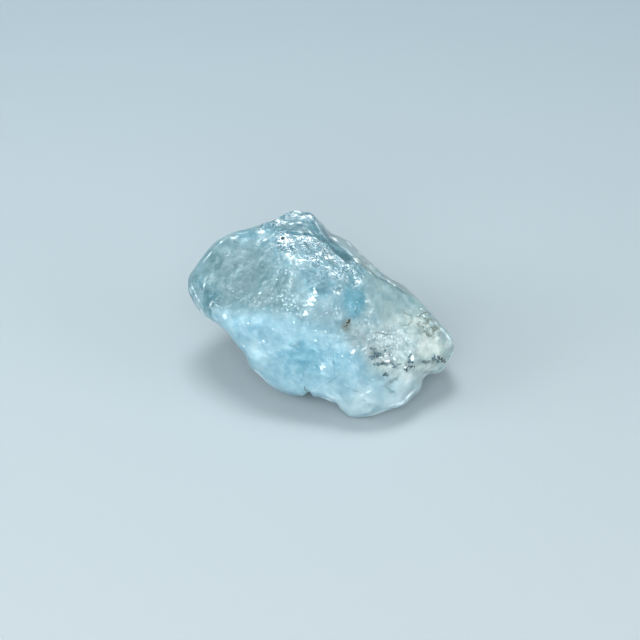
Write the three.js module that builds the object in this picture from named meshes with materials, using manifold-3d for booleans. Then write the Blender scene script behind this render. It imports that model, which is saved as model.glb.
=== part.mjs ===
// A rough aquamarine: one broken, worn piece of pale blue beryl that weighs 35 carats (7.0 g).
// It is a single solid. Its broad side leans back, and it rests on a flat parting face.
// Frame, in millimetres: +Z up, +X along its length, -Y towards the foot of the broad side.
// The origin is the middle of its bounding box, at the height of the face that it rests on.
import * as THREE from "three";
import Module from "manifold-3d";
import { ImprovedNoise } from "three/addons/math/ImprovedNoise.js";
import { mergeVertices } from "three/addons/utils/BufferGeometryUtils.js";

// Driving dimensions, in millimetres and degrees.
const BROAD_SIDE_RISE = 40; // how far the broad side's outward direction rises above level
const CENTRE_HEIGHT = 6.8; // from the resting face up to the girdle's centre
const FRONT_DEPTH = 7.4; // from the girdle out to the broad side
const BACK_DEPTH = 7.05; // from the girdle to the far side
const BODY_ROUNDNESS = 2.5; // 2 is an ellipsoid, more is boxier
const EDGE_SHARPNESS = 16; // how crisp the edges between fracture faces are
const NOTCH_REACH = 0.8; // how far the girdle's notches run up the sides, as a sine
const NOTCH_BLUR = 30; // the notches fade into an outline averaged over this many degrees
const GRID = 24; // squares along each side of the starting cube
const LENGTHWISE_SPREAD = 1.3; // turns the grid's rays towards the stone's ends, where it is longest

const FLOOR_SIZE = 60; // a block that reaches past the stone on every side, which cuts its flat face

// The wear on the stone's surface: low swellings, and smaller dents between them.
const SWELLINGS = [
  { wavelength: 6.0, height: 0.45 },
  { wavelength: 2.7, height: 0.16 },
];

// The girdle: the stone's widest outline, looking square on to the broad side.
// Each point is [across, up] from its centre, and a smooth closed curve joins them.
const GIRDLE = [
  // the raised end
  [-12.4, 2.8],
  [-11.3, 4.6],
  [-9.9, 6.2],
  [-7.9, 7.4],
  // the crest and the dip after it
  [-5.0, 8.3],
  [-2.1, 9.2],
  [-0.5, 8.9],
  [0.6, 8.0],
  // the long shoulder
  [3.3, 6.2],
  [5.8, 3.8],
  [8.3, 2.2],
  [10.6, -0.3],
  // the low end, and the bite under it
  [12.6, -3.1],
  [11.3, -5.1],
  [9.7, -5.9],
  // the foot
  [8.9, -7.8],
  [5.9, -9.4],
  [2.9, -9.7],
  [1.2, -8.1],
  // the underside, the ledge and the heel
  [-2.4, -7.6],
  [-4.6, -7.0],
  [-6.9, -4.2],
  [-9.4, -1.0],
  [-11.0, 0.0],
];

// The larger fracture faces. Each has an outward direction [across, up, out] and its
// distance from the girdle's centre.
const FACES = [
  { name: "upper left slope", direction: [-0.36, 0.42, 0.83], distance: 7.0 },
  { name: "raised end facet", direction: [-0.84, -0.2, 0.5], distance: 11.2 },
  { name: "lower front", direction: [-0.18, -0.42, 0.89], distance: 6.9 },
  { name: "rough band", direction: [0.22, 0.62, 0.75], distance: 7.3 },
  { name: "right slope", direction: [0.48, 0.22, 0.85], distance: 6.9 },
  { name: "low end facet", direction: [0.62, -0.32, 0.72], distance: 10.0 },
  { name: "back of the crest", direction: [-0.1, 0.75, -0.65], distance: 8.2 },
  { name: "back of the raised end", direction: [-0.75, 0.1, -0.65], distance: 10.8 },
  { name: "back of the shoulder", direction: [0.66, 0.3, -0.69], distance: 9.0 },
  { name: "back hollow side", direction: [0.1, 0.1, -0.99], distance: 6.6 },
];

const radians = THREE.MathUtils.degToRad;
const rise = radians(BROAD_SIDE_RISE);
const ACROSS = new THREE.Vector3(1, 0, 0);
const UP = new THREE.Vector3(0, Math.sin(rise), Math.cos(rise));
const OUT = new THREE.Vector3(0, -Math.cos(rise), Math.sin(rise));

// The girdle's radius at every half degree, read off its curve.
function girdleRadii(steps) {
  const corners = GIRDLE.map(([across, up]) => new THREE.Vector3(across, up, 0));
  const curve = new THREE.CatmullRomCurve3(corners, true, "centripetal");
  const points = curve.getPoints(4 * steps).map(({ x, y }) => [Math.atan2(y, x), Math.hypot(x, y)]);
  points.sort((a, b) => a[0] - b[0]);
  return Array.from({ length: steps }, (_, i) => {
    const angle = (2 * Math.PI * i) / steps - Math.PI;
    const after = Math.max(1, points.findIndex(([a]) => a >= angle));
    const [[a0, r0], [a1, r1]] = [points[after - 1], points[after]];
    return r0 + ((r1 - r0) * (angle - a0)) / Math.max(a1 - a0, 1e-9);
  });
}

// The same radii, each one averaged with those within some steps of it on both sides.
function blurred(radii, reach) {
  return radii.map((_, i) => {
    let sum = 0;
    for (let k = -reach; k <= reach; k++) sum += radii.at((i + k) % radii.length);
    return sum / (2 * reach + 1);
  });
}

const wasm = await Module();
wasm.setup();

const STEPS = 720;
const CRISP = girdleRadii(STEPS);
const PLAIN = blurred(CRISP, (NOTCH_BLUR * STEPS) / 360);

// The girdle's radius at an angle, with its notches fading as a direction leaves its plane.
function girdleRadius(angle, out) {
  const place = ((angle + Math.PI) / (2 * Math.PI)) * STEPS;
  const i = Math.floor(place);
  const read = (radii) => {
    const here = radii[i % STEPS];
    return here + (radii[(i + 1) % STEPS] - here) * (place - i);
  };
  const notched = Math.max(0, 1 - (out / NOTCH_REACH) ** 2);
  return read(CRISP) * notched + read(PLAIN) * (1 - notched);
}

const faces = FACES.map(({ direction: [across, up, out], distance }) => {
  const normal = new THREE.Vector3().addScaledVector(ACROSS, across);
  normal.addScaledVector(UP, up).addScaledVector(OUT, out).normalize();
  return { normal, distance };
});

const noise = new ImprovedNoise();

// The distance from the girdle's centre to the surface, along a unit direction.
function radiusAlong(direction) {
  const across = direction.dot(ACROSS);
  const up = direction.dot(UP);
  const out = direction.dot(OUT);
  const girdle = Math.hypot(across, up) / girdleRadius(Math.atan2(up, across), out);
  const depth = Math.abs(out) / (out > 0 ? FRONT_DEPTH : BACK_DEPTH);
  const body = (girdle ** BODY_ROUNDNESS + depth ** BODY_ROUNDNESS) ** (1 / BODY_ROUNDNESS);
  let sum = body ** EDGE_SHARPNESS;
  for (const { normal, distance } of faces) {
    sum += Math.max(0, direction.dot(normal) / distance) ** EDGE_SHARPNESS;
  }
  let radius = sum ** (-1 / EDGE_SHARPNESS);
  const point = direction.clone().multiplyScalar(radius);
  for (const { wavelength, height } of SWELLINGS) {
    const { x, y, z } = point.clone().divideScalar(wavelength);
    radius += height * noise.noise(x, y, z);
  }
  return radius;
}

// A geometry with its shared vertices merged, so that it is one closed surface.
function closed(geometry) {
  geometry.deleteAttribute("normal");
  geometry.deleteAttribute("uv");
  return mergeVertices(geometry);
}

// A cube's grid swelled into the stone: each vertex slides along its ray from the centre.
function wholeStone() {
  const stone = closed(new THREE.BoxGeometry(2, 2, 2, GRID, GRID, GRID));
  const place = stone.getAttribute("position");
  const evenly = (side) => Math.tan((side * Math.PI) / 4);
  for (let i = 0; i < place.count; i++) {
    const ray = new THREE.Vector3(evenly(place.getX(i)), evenly(place.getY(i)), evenly(place.getZ(i)));
    ray.x *= LENGTHWISE_SPREAD;
    ray.normalize();
    ray.multiplyScalar(radiusAlong(ray));
    place.setXYZ(i, ray.x, ray.y, ray.z);
  }
  return stone.translate(0, 0, CENTRE_HEIGHT);
}

// A closed geometry as a manifold-3d solid, and back.
function toSolid(geometry) {
  const vertProperties = new Float32Array(geometry.getAttribute("position").array);
  const triVerts = new Uint32Array(geometry.index.array);
  return new wasm.Manifold(new wasm.Mesh({ numProp: 3, vertProperties, triVerts }));
}

function toGeometry(solid) {
  const { vertProperties, triVerts } = solid.getMesh();
  const geometry = new THREE.BufferGeometry();
  geometry.setAttribute("position", new THREE.BufferAttribute(vertProperties, 3));
  geometry.setIndex(new THREE.BufferAttribute(triVerts, 1));
  return geometry;
}

// The stone split off flat at floor level, and centred over the origin.
function stoneGeometry() {
  const floor = closed(new THREE.BoxGeometry(FLOOR_SIZE, FLOOR_SIZE, FLOOR_SIZE));
  floor.translate(0, 0, -FLOOR_SIZE / 2);
  const stone = toGeometry(toSolid(wholeStone()).subtract(toSolid(floor)));
  stone.computeBoundingBox();
  const middle = stone.boundingBox.getCenter(new THREE.Vector3());
  stone.translate(-middle.x, -middle.y, 0);
  stone.computeVertexNormals();
  return stone;
}

const beryl = new THREE.MeshStandardMaterial({ color: 0x9bc9d8, roughness: 0.25, metalness: 0 });
const stone = new THREE.Mesh(stoneGeometry(), beryl);
stone.name = "aquamarine_crystal";

const group = new THREE.Group();
group.add(stone);

export default group;
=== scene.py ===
# %% [markdown]
# # A rough aquamarine
# This lesson dresses one broken piece of pale blue beryl, about 25 mm long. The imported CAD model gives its
# true shape and size. The cells add its worn and broken surface, its clear blue body with cloudy zones, and
# the small things sealed in it. Sizes are in millimetres, and MM turns them to Blender's metres.

# %% The frame
import itertools
import math

import bpy
import numpy as np
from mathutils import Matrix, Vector


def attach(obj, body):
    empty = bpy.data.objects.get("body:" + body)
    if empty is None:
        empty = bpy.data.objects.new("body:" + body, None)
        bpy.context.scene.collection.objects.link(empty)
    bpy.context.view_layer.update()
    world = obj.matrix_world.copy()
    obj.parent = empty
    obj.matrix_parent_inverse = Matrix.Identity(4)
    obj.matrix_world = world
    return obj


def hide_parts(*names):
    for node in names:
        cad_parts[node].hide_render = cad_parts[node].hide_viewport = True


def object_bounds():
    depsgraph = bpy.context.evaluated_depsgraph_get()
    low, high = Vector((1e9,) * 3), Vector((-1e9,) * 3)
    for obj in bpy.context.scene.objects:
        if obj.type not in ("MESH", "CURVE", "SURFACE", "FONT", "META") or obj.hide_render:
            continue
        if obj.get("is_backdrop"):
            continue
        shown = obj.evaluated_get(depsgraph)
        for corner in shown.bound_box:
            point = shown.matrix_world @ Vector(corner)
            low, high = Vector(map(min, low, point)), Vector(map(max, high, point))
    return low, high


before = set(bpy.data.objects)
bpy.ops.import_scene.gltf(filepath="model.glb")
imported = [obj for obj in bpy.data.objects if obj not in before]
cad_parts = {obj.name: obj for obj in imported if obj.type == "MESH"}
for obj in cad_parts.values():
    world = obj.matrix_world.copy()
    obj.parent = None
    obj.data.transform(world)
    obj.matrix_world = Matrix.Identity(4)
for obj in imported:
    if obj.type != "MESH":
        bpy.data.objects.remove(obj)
MM = 0.001
cad_low, cad_high = (np.array(corner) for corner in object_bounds())
print("CAD box in mm:", ((cad_high - cad_low) / MM).round(2))

# %% [markdown]
# The stone's broad side faces forward and leans back. Marks on it could be placed by x, y and z, but on a
# leaning face such numbers are hard to picture. Here they are placed as (across, up) on that side, from the
# middle of the stone's box, as on a sorter's card held up to it.

# %% The broad side's own directions
BROAD_SIDE_RISE = math.radians(40)
ACROSS = np.array([1.0, 0.0, 0.0])
UP = np.array([0.0, math.sin(BROAD_SIDE_RISE), math.cos(BROAD_SIDE_RISE)])
OUT = np.array([0.0, -math.cos(BROAD_SIDE_RISE), math.sin(BROAD_SIDE_RISE)])
CARD_AXES = np.stack([ACROSS, UP, OUT], axis=1)
MIDDLE = (cad_low + cad_high) / 2 / MM
print("middle of the box in mm:", MIDDLE.round(2))

# %% [markdown]
# The skin is the stone's outside. It could be the CAD mesh subdivided, but those triangles are uneven, and a
# globe of latitudes has pinched poles. A cube's grid swelled to a ball has no poles and nearly even squares,
# so fine relief lies evenly on it. The stone is longest across, so the grid's rays are spread that way.

# %% A ball of squares
SKIN_GRID = 128
LENGTHWISE_SPREAD = 1.3


def ball(n, spread=1.0):
    """Unit directions and quads of a cube grid with n squares a side.

    Each side of the cube is (sign, sign u, v) turned to its axis, with u and v the tangents of even
    angles. The first direction is lengthened by spread, and then all are made one unit long."""
    steps = np.tan(np.linspace(-1, 1, n + 1) * np.pi / 4)
    u, v = np.meshgrid(steps, steps, indexing="ij")
    one = np.ones_like(u)
    sides = [np.roll(np.stack([s * one, s * u, v], -1), axis, -1) for axis in range(3) for s in (1, -1)]
    corners = np.concatenate(sides).reshape(-1, 3).round(6)
    places, index = np.unique(corners, axis=0, return_inverse=True)
    i = index.reshape(6, n + 1, n + 1)
    quads = np.stack([i[:, :-1, :-1], i[:, 1:, :-1], i[:, 1:, 1:], i[:, :-1, 1:]], -1).reshape(-1, 4)
    places = places * [spread, 1, 1]
    return places / np.linalg.norm(places, axis=1, keepdims=True), quads


directions, quads = ball(SKIN_GRID, LENGTHWISE_SPREAD)
print("ball:", len(directions), "points,", len(quads), "squares")

# %% [markdown]
# Each point of the ball now has to reach the CAD solid. Its ray could be tested against every triangle in
# Python. Blender's Shrinkwrap modifier does just that: it throws a point outwards along its own direction
# until it meets the solid. So the skin takes its shape from the frame, and follows it if the solid changes.

# %% The ball thrown onto the solid
def make_mesh(name, points, faces, smooth=True):
    """A mesh object from points in mm and a list of faces."""
    mesh = bpy.data.meshes.new(name)
    mesh.from_pydata((points * MM).tolist(), [], faces)
    if smooth:
        mesh.shade_smooth()
    made = bpy.data.objects.new(name, mesh)
    bpy.context.scene.collection.objects.link(made)
    return made


skin = make_mesh("aquamarine", MIDDLE + directions, quads.tolist())
wrap = skin.modifiers.new("onto the solid", "SHRINKWRAP")
wrap.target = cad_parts["aquamarine_crystal"]
wrap.wrap_method = "PROJECT"
thrown = skin.evaluated_get(bpy.context.evaluated_depsgraph_get()).data
flat = np.empty(len(thrown.vertices) * 3)
thrown.vertices.foreach_get("co", flat)
points = flat.reshape(-1, 3) / MM
skin.modifiers.remove(wrap)
print("skin's box in mm:", np.ptp(points, axis=0).round(2))

# %% [markdown]
# The CAD faces are small flats, and a worn stone has none. A Smooth modifier would do, but the noises below
# need the points here. Averaging each point with its four neighbours a number of times melts the flats
# into one worn surface, and one sum over all edges at once does it for every point.

# %% Smoothing and normals
SMOOTHING_ROUNDS = 14
EDGE_FROM = quads.ravel()
EDGE_TO = np.roll(quads, -1, axis=1).ravel()
NEIGHBOURS = np.bincount(EDGE_FROM)[:, None]


def smoothed(values, times):
    """Each row becomes half itself and half the mean of its neighbours, again and again."""
    for _ in range(times):
        sums = np.stack([np.bincount(EDGE_FROM, column[EDGE_TO]) for column in values.T], 1)
        values = (values + sums / NEIGHBOURS) / 2
    return values


def normals(points):
    """Unit normals: a quad's is the cross product of its diagonals, and a point's sums its quads'."""
    a, b, c, d = (points[quads[:, k]] for k in range(4))
    of_quads = np.repeat(np.cross(c - a, d - b), 4, axis=0)
    sums = np.stack([np.bincount(EDGE_FROM, column) for column in of_quads.T], 1)
    return sums / np.linalg.norm(sums, axis=1, keepdims=True)


points = smoothed(points, SMOOTHING_ROUNDS)
worn_normals = normals(points)
print("smoothed box in mm:", np.ptp(points, axis=0).round(2))

# %% [markdown]
# Natural surfaces are humps of several sizes at once. A Displace modifier with a cloud texture could make
# them, but here the same noise also decides where colours lie. Gradient noise gives each corner of a grid a
# random slope and blends the eight slopes round a point, which makes humps about as wide as the grid.

# %% Gradient noise
NOISE_GAIN = 1.5


def noise(points, size, seed):
    """Gradient noise at points in mm, with humps about size mm wide and values from about -1 to 1."""
    rng = np.random.default_rng(seed)
    order = rng.permutation(256)
    slopes = rng.normal(size=(256, 3))
    slopes /= np.linalg.norm(slopes, axis=1, keepdims=True)
    cell = np.floor(points / size).astype(int)
    within = points / size - cell
    fade = within**3 * (within * (within * 6 - 15) + 10)
    total = np.zeros(len(points))
    for corner in itertools.product((0, 1), repeat=3):
        x, y, z = (cell + corner).T
        slope = slopes[order[(order[(order[x & 255] + y) & 255] + z) & 255]]
        weight = np.prod(np.where(corner, fade, 1 - fade), axis=1)
        total += weight * ((within - corner) * slope).sum(1)
    return NOISE_GAIN * total


print("noise of 3 mm humps spans", np.ptp(noise(points, 3.0, seed=10)).round(2))

# %% [markdown]
# The broad side, the back and the turn between them carry different marks. Painting them by hand would tie
# the marks to one mesh, so each is a formula of where a point is on the card and how far it faces forward.
# Edges of marks wander by a little noise, so that none looks drawn.

# %% Where each point is on the card
FAR = 100.0
card = (points - MIDDLE) @ CARD_AXES
facing = worn_normals @ OUT


def smoothstep(low, high, x):
    """0 below low, 1 above high, and the cubic 3t^2 - 2t^3 between them."""
    t = np.clip((x - low) / (high - low), 0, 1)
    return t * t * (3 - 2 * t)


def nearest(card, spot, hidden):
    """The index of the card's point nearest to an (across, up) spot, leaving out the hidden ones."""
    return np.argmin(((card[:, :2] - spot) ** 2).sum(1) + FAR * hidden)


def strongest(*marks):
    """The greatest of several marks at each point."""
    return np.maximum.reduce(marks)


FORWARD = smoothstep(-0.15, 0.3, facing)
BACK = smoothstep(0.1, 0.5, -facing)
WANDER = 0.30 * noise(points, 2.2, seed=1) + 0.22 * noise(points, 0.8, seed=2)
print("share of the skin that faces forward:", FORWARD.mean().round(2))


# %% [markdown]
# Most marks are roundish: stains, clouds and clusters. A brush in Texture Paint could lay them on, but an
# ellipse on the card says as much in five numbers. Flat on the card it would smear down the stone's sides,
# so a patch also fades with depth from the skin at its middle.

# %% Patches and swells
def ellipse(across, up, wide, tall, lean=0):
    """The distance from an ellipse's middle as a share of its half sizes in mm, leaning by degrees."""
    turn = math.radians(lean)
    x, y = card[:, 0] - across, card[:, 1] - up
    along = (x * math.cos(turn) + y * math.sin(turn)) / wide
    over = (y * math.cos(turn) - x * math.sin(turn)) / tall
    return np.hypot(along, over)


def patch(across, up, wide, tall, lean=0, soft=0.35):
    """1 inside an ellipse, fading across its wandering edge and beyond a depth of wide plus tall."""
    middle = nearest(card, (across, up), card[:, 2] < 0)
    deep = (card[:, 2] - card[middle, 2]) / (wide + tall)
    distance = np.hypot(ellipse(across, up, wide, tall, lean), deep)
    return FORWARD * (1 - smoothstep(1 - soft, 1 + soft, distance + WANDER))


def swell(across, up, wide, tall, lean=0):
    """A bell as high as 1: e to the minus squared distance from an ellipse's middle."""
    return np.exp(-ellipse(across, up, wide, tall, lean) ** 2)


print("a 2 mm patch covers", (patch(0, 0, 2, 2) > 0.5).mean().round(3), "of the skin")


# %% [markdown]
# Other marks follow a line: cracks, layers and worn edges. A texture would need an unwrapped skin. The
# distance to a path of a few corners needs none, and it can be stored at the points, because a distance
# changes evenly between them even where the line itself is finer than the squares.

# %% Lines and bands
def line_distance(*paths, depth_share=0.0):
    """The distance in mm from each point to the nearest path of (across, up) corners, seen square on.

    It is less than 0 on a path's right, so it passes through 0 at the path, even inside a square. A
    share of the depth from the skin at the path can be added in, as the other side of a right angle."""
    least = np.full(len(card), FAR)
    for start, end in [pair for path in paths for pair in itertools.pairwise(np.array(path, float))]:
        run, to_point = end - start, card[:, :2] - start
        part = np.clip((to_point @ run) / (run @ run), 0, 1)
        start_depth, end_depth = (card[nearest(card, corner, facing < 0), 2] for corner in (start, end))
        deep = card[:, 2] - (1 - part) * start_depth - part * end_depth
        away = np.hypot(np.linalg.norm(to_point - part[:, None] * run, axis=1), depth_share * deep)
        sign = np.where(run[0] * to_point[:, 1] - run[1] * to_point[:, 0] < 0, -1, 1)
        least = np.where(away < np.abs(least), sign * away, least)
    return least


def band(path, width, soft=0.5):
    """1 within width mm of a path on the broad side, fading across its wandering edge."""
    return FORWARD * (1 - smoothstep(1 - soft, 1 + soft, np.abs(line_distance(path)) / width + WANDER))


print("points farthest from the card's middle line:", line_distance([(-12, 0), (12, 0)]).max().round(2), "mm")


# %% [markdown]
# Beryl also breaks to flat little faces with straight edges. An ellipse would look too soft for these, so a
# facet is an outline of a few corners. Each edge has a distance to its own line, and the least of those is
# how deep a point lies in the facet, which needs no test of inside and outside.

# %% Facets
def facet(*corners, soft=0.12):
    """1 inside a convex outline of (across, up) corners that run clockwise, fading across its edges.

    A point's depth is its least distance inwards from the edges' own lines."""
    depth = np.full(len(card), FAR)
    for start, end in itertools.pairwise(np.array([*corners, corners[0]], float)):
        run, to_point = end - start, card[:, :2] - start
        depth = np.minimum(depth, (run[1] * to_point[:, 0] - run[0] * to_point[:, 1]) / np.hypot(*run))
    return FORWARD * smoothstep(-soft, soft, depth + soft * WANDER)


WEDGE = [(0.8, 5.8), (2.0, 5.5), (3.1, 4.5), (2.6, 4.1), (1.5, 4.9)]
print("the smooth wedge covers", (facet(*WEDGE) > 0.5).mean().round(4), "of the skin")

# %% [markdown]
# Where beryl breaks across its length the break is hackly: small curved chips that glitter. Here that is a
# band from the crest down the middle of the broad side, a strip along the crest, and part of the back. A
# smooth wedge interrupts it. Bands with faded edges are used, because a hackly break has no clear outline.

# %% Where the surface is rough
ROUGH_BAND = [(-3.2, 6.0), (-1.6, 5.4), (0.0, 4.6), (1.3, 3.9), (2.8, 3.1)]
HOLLOW = [(-4.2, 7.1), (-2.5, 7.4), (-0.8, 7.4), (0.5, 6.5)]
ROUGH_FRINGE = [(-4.6, 5.2), (-2.6, 4.0), (0.4, 3.2), (1.8, 2.6), (3.6, 2.3)]
CREST = [(-5.0, 7.5), (-3.5, 8.0), (-2.2, 8.5), (-0.8, 8.3)]
SUGARY = [(4.4, -2.8), (6.4, -2.8), (7.8, -3.6)]
back_break = noise(points, 6.0, seed=3) + 0.5 * noise(points, 1.8, seed=4)
rough = strongest(
    band(ROUGH_BAND, 1.3, soft=0.7),
    0.35 * band(HOLLOW, 0.6, soft=0.7),
    0.5 * band(ROUGH_FRINGE, 1.0, soft=0.8),
    0.8 * band(CREST, 0.5, soft=0.6),
    0.8 * BACK * smoothstep(0.0, 0.7, back_break),
)
rough = rough * (1 - 0.85 * facet(*WEDGE, soft=0.3))
sugary = band(SUGARY, 1.5, soft=0.7)
print("rough share of the surface:", rough.mean().round(3))

# %% [markdown]
# The brightest chips lie in clusters, because only some of them face the light. Their brightness is painted:
# in the clusters the material whitens the chips' tops and creases as glints and shades their feet. They could
# be left to chance, but clusters with places of their own keep the stone's character. Each is a strength and
# an ellipse as (across, up, half width, half height, lean).

# %% Clusters of bright chips
GLINTS = [
    (1.0, (-3.1, 6.0, 0.8, 1.0, -10)),
    (1.0, (-1.3, 5.9, 1.2, 0.6, -12)),
    (0.9, (-2.6, 5.4, 1.0, 0.5, -20)),
    (0.8, (-2.2, 4.4, 1.2, 0.6, -15)),
    (0.8, (-0.5, 4.4, 0.9, 0.6, -15)),
    (0.9, (0.5, 4.8, 0.7, 0.6, -30)),
    (1.0, (1.5, 4.2, 0.9, 0.45, -35)),
    (0.9, (2.6, 3.4, 0.7, 0.35, -35)),
    (0.8, (1.4, 3.0, 1.3, 0.5, -35)),
    (0.7, (3.4, 2.4, 0.7, 0.4, -10)),
    (0.5, (-3.0, 3.1, 1.5, 0.5, -30)),
    (0.5, (-4.6, 5.6, 1.2, 0.6, -20)),
    (0.9, (-5.5, 6.9, 0.5, 0.5, 30)),
    (1.0, (-3.5, 7.9, 0.8, 0.35, 12)),
    (0.9, (-1.7, 8.4, 1.3, 0.3, -12)),
    (0.6, (-7.9, 6.5, 0.5, 0.3, 0)),
    (0.7, (1.6, 1.6, 0.6, 0.4, 20)),
    (0.5, (9.5, -0.65, 0.5, 0.3, -20)),
    (0.5, (6.6, -4.6, 0.6, 0.3, -30)),
]
glint = strongest(*[strength * patch(*place, soft=0.7) for strength, place in GLINTS], 0.6 * BACK * rough)
print(len(GLINTS), "clusters of bright chips")

# %% [markdown]
# Behind the crest a thin sliver of the back shows, with its layers end on. A crease parts it from the broad
# side. Cutting a groove in the CAD solid would be coarse, so the crease is pressed into the skin: its depth
# is a bell of the distance from a path.

# %% The crease behind the crest
SLIVER = [[(0.5, 7.3), (1.2, 6.3), (2.2, 5.4), (3.1, 4.6), (4.2, 3.6), (5.2, 2.9), (6.2, 2.6), (7.8, 1.7)]]
CREASE_DEPTH, CREASE_WIDTH = 0.2, 0.3
crease = CREASE_DEPTH * np.exp(-((line_distance(*SLIVER) / CREASE_WIDTH) ** 2)) * FORWARD
print("crease is up to", crease.max().round(2), "mm deep")

# %% [markdown]
# The stone isn't a plain lump: some places are swollen and some are pressed in, such as the foot, the notch
# in its lower edge and the hollow under the crest. Each could be sculpted by hand. A list of bells does the
# same in numbers that can be read and changed: a height in mm, and an ellipse.

# %% Swells and dents
SWELLS = [
    (0.50, (-2.9, -8.0, 1.6, 1.0, 0)),
    (0.30, (12.1, -4.3, 1.4, 1.6, 0)),
    (0.05, (1.1, -8.4, 0.7, 0.5, 0)),
    (0.25, (9.2, -7.1, 0.9, 0.9, 0)),
    (0.20, (7.6, -8.8, 1.0, 0.6, 30)),
    (0.45, (11.0, -5.7, 1.0, 0.5, 30)),
    (0.10, (-11.6, 1.2, 0.5, 1.2, 30)),
    (-0.08, (10.6, -0.8, 1.6, 3.0, -40)),
    (-0.06, (-10.8, 5.4, 0.6, 1.2, -30)),
    (-0.12, (0.1, 8.3, 0.6, 0.5, -40)),
    (-0.25, (1.3, -8.9, 0.35, 0.35, 0)),
    (0.28, (-6.2, -5.2, 0.8, 0.8, 0)),
    (-0.30, (8.6, 1.2, 1.6, 1.2, -40)),
    (-0.10, (-7.2, 7.4, 1.4, 0.7, 20)),
    (-0.45, (-1.05, -8.0, 0.3, 0.4, 0)),
    (-0.40, (-1.2, 7.0, 2.2, 0.6, -12)),
    (-0.25, (2.0, 4.9, 1.4, 0.4, -42)),
    (-0.12, (-9.9, 0.8, 0.8, 1.3, 20)),
    (-0.15, (5.4, -4.6, 1.4, 0.8, -10)),
    (-0.10, (2.4, 0.4, 0.9, 1.4, 0)),
]
dents = sum(high * swell(*place) for high, place in SWELLS)
print("swells and dents from", dents.min().round(2), "to", dents.max().round(2), "mm")

# %% [markdown]
# Over these lie two finer reliefs. Wear is plain noise, as on a tumbled pebble. Chips are ridged noise: one
# minus its absolute value has sharp crests, as between the small shells of a hackly break. Bending the
# noise's places by a second noise keeps the crests from running straight. All of it is real relief in the
# mesh, each point moved along its normal, because bump alone would leave the outline smooth.

# %% The relief
WEAR = [(3.0, 0.14), (1.3, 0.06), (0.6, 0.03)]
CHIPS = [(1.5, 0.16), (0.8, 0.12), (0.5, 0.06)]
CHIP_CREST_SHARPNESS = 2.4
SUGARY_SHARE = 0.3
wear = sum(high * noise(points, size, 10 + k) for k, (size, high) in enumerate(WEAR))
bend = 0.3 * np.stack([noise(points, 0.9, seed) for seed in (31, 32, 33)], 1)
chips = 0.0
for k, (size, high) in enumerate(CHIPS):
    chips = chips + high * (1 - CHIP_CREST_SHARPNESS * np.abs(noise(points + bend, size, 20 + k)))
relief = wear + dents + rough * chips + SUGARY_SHARE * sugary * chips - crease
points = points + worn_normals * relief[:, None]
points[:, 2] = np.maximum(points[:, 2], 0)
skin.data.vertices.foreach_set("co", (points * MM).ravel())
skin.data.update()
skin_normals = normals(points)
print("relief from", relief.min().round(2), "to", relief.max().round(2), "mm")

# %% [markdown]
# The body isn't one blue. It has a grey upper face, a light blue lower front, a sage right slope and a pale
# right end. The lower front's light blue is a painted glow, for light that passes through the stone and
# comes out there. These could be separate pieces, but one stone has no joins. So each zone is a number from
# 0 to 1 at each point of the skin, which the material reads by name. The back gets its own.

# %% Wide colour zones
# Outline of the painted glow: the lower front is painted lighter, for light that passes through the stone.
PAINTED_GLOW = [(-10.0, -0.8), (-7.5, -0.2), (-5.0, -0.5), (0.5, -2.0), (3.5, -4.0), (4.5, -6.5)]
PAINTED_GLOW += [(4.2, -9.5), (2.0, -11.0), (-4.0, -9.5), (-10.5, -4.0)]
back_hue = noise(points, 5.0, seed=51)
back_deep = BACK * smoothstep(0.1, 0.5, noise(points, 3.5, seed=52))
zones = {
    "rough": rough,
    "sugary": sugary,
    "glint": glint,
    "grey": strongest(patch(-6.9, 2.2, 5.3, 3.3, -22, 0.4), 0.4 * BACK * smoothstep(-0.2, 0.3, back_hue)),
    "sage": patch(6.6, 0.8, 4.6, 2.8, -40, 0.4),
    # painted glow on the lower front; on the back a random lighter tone
    "glow": strongest(
        facet(*PAINTED_GLOW, soft=1.1),
        patch(3.8, -8.4, 3.4, 1.9, 8, 0.5),
        BACK * smoothstep(0.3, -0.3, back_hue),
    ),
    "milk": strongest(0.8 * patch(7.6, -7.4, 2.0, 1.7, 25, 0.6), 0.45 * patch(4.2, -8.6, 3.0, 1.5, 0, 0.7)),
    "cream": patch(10.0, -3.8, 1.10, 0.95, 10, 0.30),
    "pale": strongest(patch(8.6, -4.0, 4.2, 3.2, -25, 0.6), 0.5 * back_deep),
    "deep": strongest(
        patch(-1.4, -4.4, 2.2, 1.5, -20, 0.8),
        0.6 * patch(-0.4, -5.8, 1.2, 1.0, 0, 0.8),
        0.6 * patch(1.6, -4.9, 1.0, 1.5, 0, 0.8),
    ),
}
print("mean of each zone:", {name: float(values.mean().round(3)) for name, values in zones.items()})

# %% [markdown]
# Teal shows where a clear window lets the eye deep into the stone: in the middle of the broad side, under
# the crest, and at the left tip. Clear windows have straight edges, so most of them are facets. Shade darkens
# some of them further, and in the hollow under the crest it is painted shade.

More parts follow.
